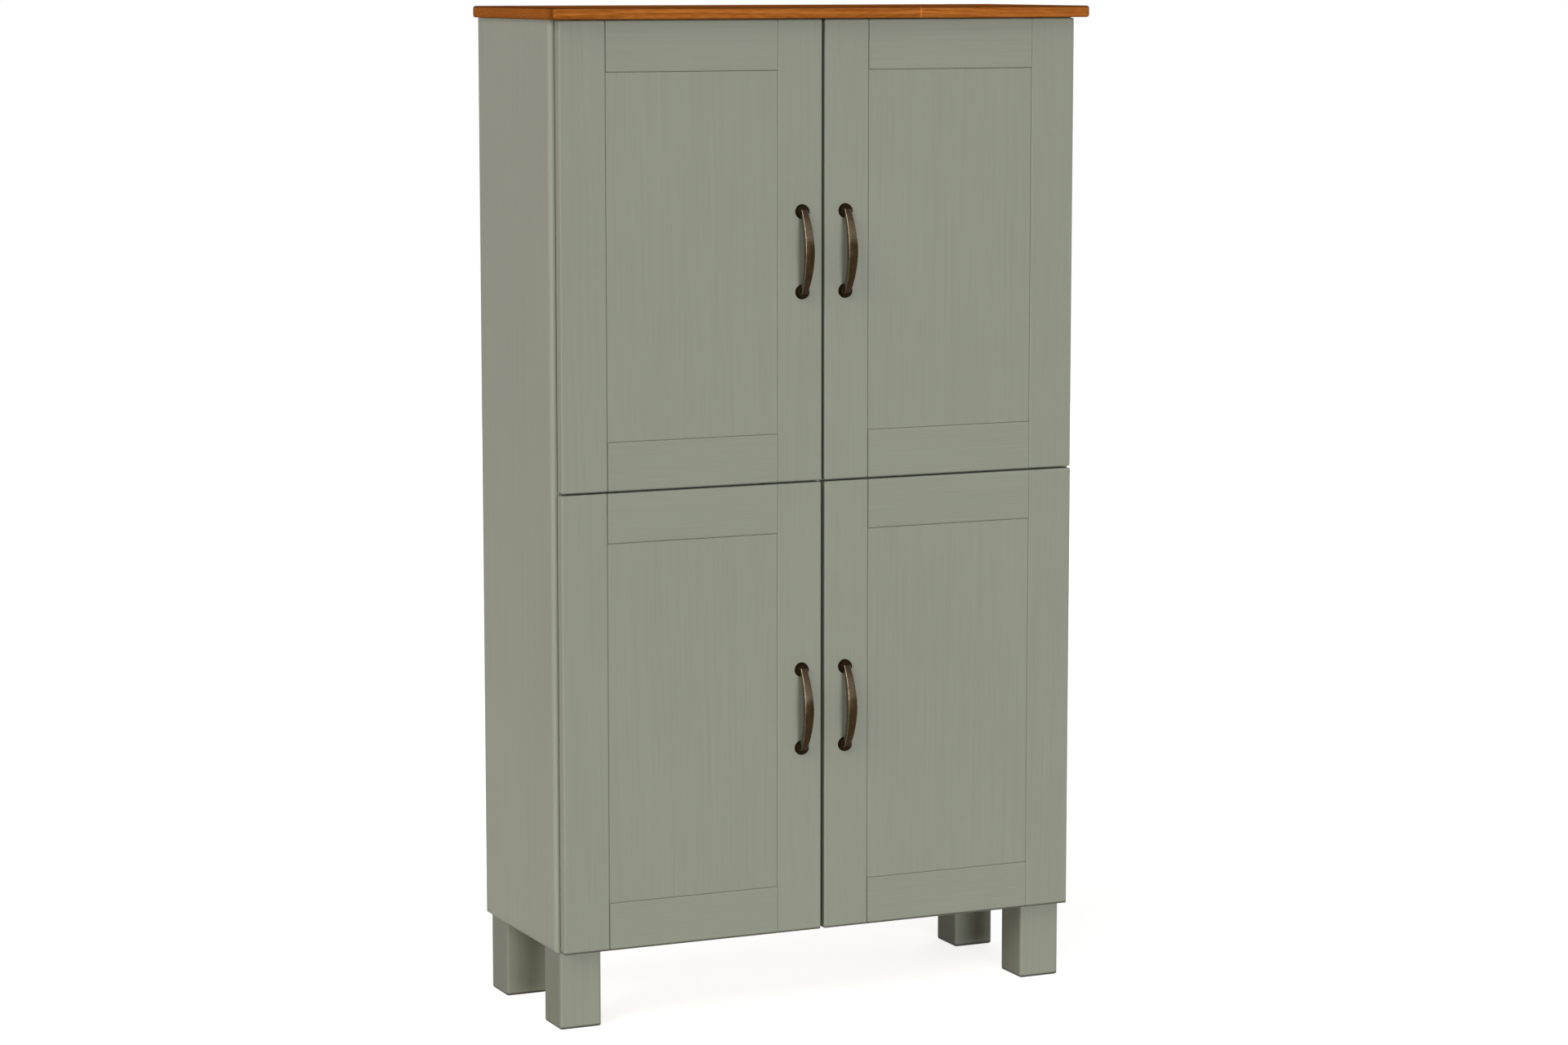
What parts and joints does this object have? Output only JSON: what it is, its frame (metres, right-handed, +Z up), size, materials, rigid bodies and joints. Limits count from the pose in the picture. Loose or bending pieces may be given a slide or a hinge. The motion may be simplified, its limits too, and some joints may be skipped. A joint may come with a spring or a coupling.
{
  "type": "tall bathroom cabinet",
  "caption": "Tall free-standing cabinet in painted pine with stained top board, square legs, framed doors, bow handles, concealed hinges and inner shelves.",
  "frame": {"origin": "on the floor, at the middle of the cabinet's own box", "axes": "+Z up, -Y out of the doors, +X to the right of someone facing the doors"},
  "size_m": [0.7, 0.2784, 1.215],
  "materials": {
    "painted_pine": "sage green satin paint with a faint grain",
    "stained_pine": "honey brown stain under satin lacquer",
    "bare_pine": "clear lacquered pine",
    "hardboard": "plain hardboard",
    "antique_bronze": "dark antique bronze, worn pale on the edges",
    "nickel_steel": "nickel plated"
  },
  "bodies": {
    "carcass": {"bottom_panel": "bare_pine", "front_left_leg": "painted_pine", "front_right_leg": "painted_pine", "front_top_rail": "bare_pine", "left_side_panel": "painted_pine", "lower_back_panel": "hardboard", "lower_left_lower_hinge_arm": "nickel_steel", "lower_left_upper_hinge_arm": "nickel_steel", "lower_right_lower_hinge_arm": "nickel_steel", "lower_right_upper_hinge_arm": "nickel_steel", "lower_shelf": "bare_pine", "lower_shelf_left_batten": "bare_pine", "lower_shelf_right_batten": "bare_pine", "middle_panel": "bare_pine", "rear_left_leg": "painted_pine", "rear_right_leg": "painted_pine", "rear_top_rail": "bare_pine", "right_side_panel": "painted_pine", "top_board": "stained_pine", "upper_back_panel": "hardboard", "upper_left_lower_hinge_arm": "nickel_steel", "upper_left_upper_hinge_arm": "nickel_steel", "upper_right_lower_hinge_arm": "nickel_steel", "upper_right_upper_hinge_arm": "nickel_steel", "upper_shelf": "bare_pine", "upper_shelf_left_batten": "bare_pine", "upper_shelf_right_batten": "bare_pine"},
    "upper_left_door": {"upper_left_bottom_rail": "painted_pine", "upper_left_handle": "antique_bronze", "upper_left_hinge_stile": "painted_pine", "upper_left_lock_stile": "painted_pine", "upper_left_lower_hinge_cup": "nickel_steel", "upper_left_panel": "painted_pine", "upper_left_top_rail": "painted_pine", "upper_left_upper_hinge_cup": "nickel_steel"},
    "upper_right_door": {"upper_right_bottom_rail": "painted_pine", "upper_right_handle": "antique_bronze", "upper_right_hinge_stile": "painted_pine", "upper_right_lock_stile": "painted_pine", "upper_right_lower_hinge_cup": "nickel_steel", "upper_right_panel": "painted_pine", "upper_right_top_rail": "painted_pine", "upper_right_upper_hinge_cup": "nickel_steel"},
    "lower_left_door": {"lower_left_bottom_rail": "painted_pine", "lower_left_handle": "antique_bronze", "lower_left_hinge_stile": "painted_pine", "lower_left_lock_stile": "painted_pine", "lower_left_lower_hinge_cup": "nickel_steel", "lower_left_panel": "painted_pine", "lower_left_top_rail": "painted_pine", "lower_left_upper_hinge_cup": "nickel_steel"},
    "lower_right_door": {"lower_right_bottom_rail": "painted_pine", "lower_right_handle": "antique_bronze", "lower_right_hinge_stile": "painted_pine", "lower_right_lock_stile": "painted_pine", "lower_right_lower_hinge_cup": "nickel_steel", "lower_right_panel": "painted_pine", "lower_right_top_rail": "painted_pine", "lower_right_upper_hinge_cup": "nickel_steel"}
  },
  "joints": [
    {"name": "upper_left_door_hinge", "type": "hinge", "parent": "carcass", "child": "upper_left_door", "pos_m": [-0.3304, -0.10725, 0.9246], "axis": [0, 0, -1], "range_deg": [0, 90]},
    {"name": "upper_right_door_hinge", "type": "hinge", "parent": "carcass", "child": "upper_right_door", "pos_m": [0.3304, -0.10725, 0.9246], "axis": [0, 0, 1], "range_deg": [0, 90]},
    {"name": "lower_left_door_hinge", "type": "hinge", "parent": "carcass", "child": "lower_left_door", "pos_m": [-0.3309, -0.10725, 0.3714], "axis": [0, 0, -1], "range_deg": [0, 90]},
    {"name": "lower_right_door_hinge", "type": "hinge", "parent": "carcass", "child": "lower_right_door", "pos_m": [0.3309, -0.10725, 0.3714], "axis": [0, 0, 1], "range_deg": [0, 90]}
  ]
}
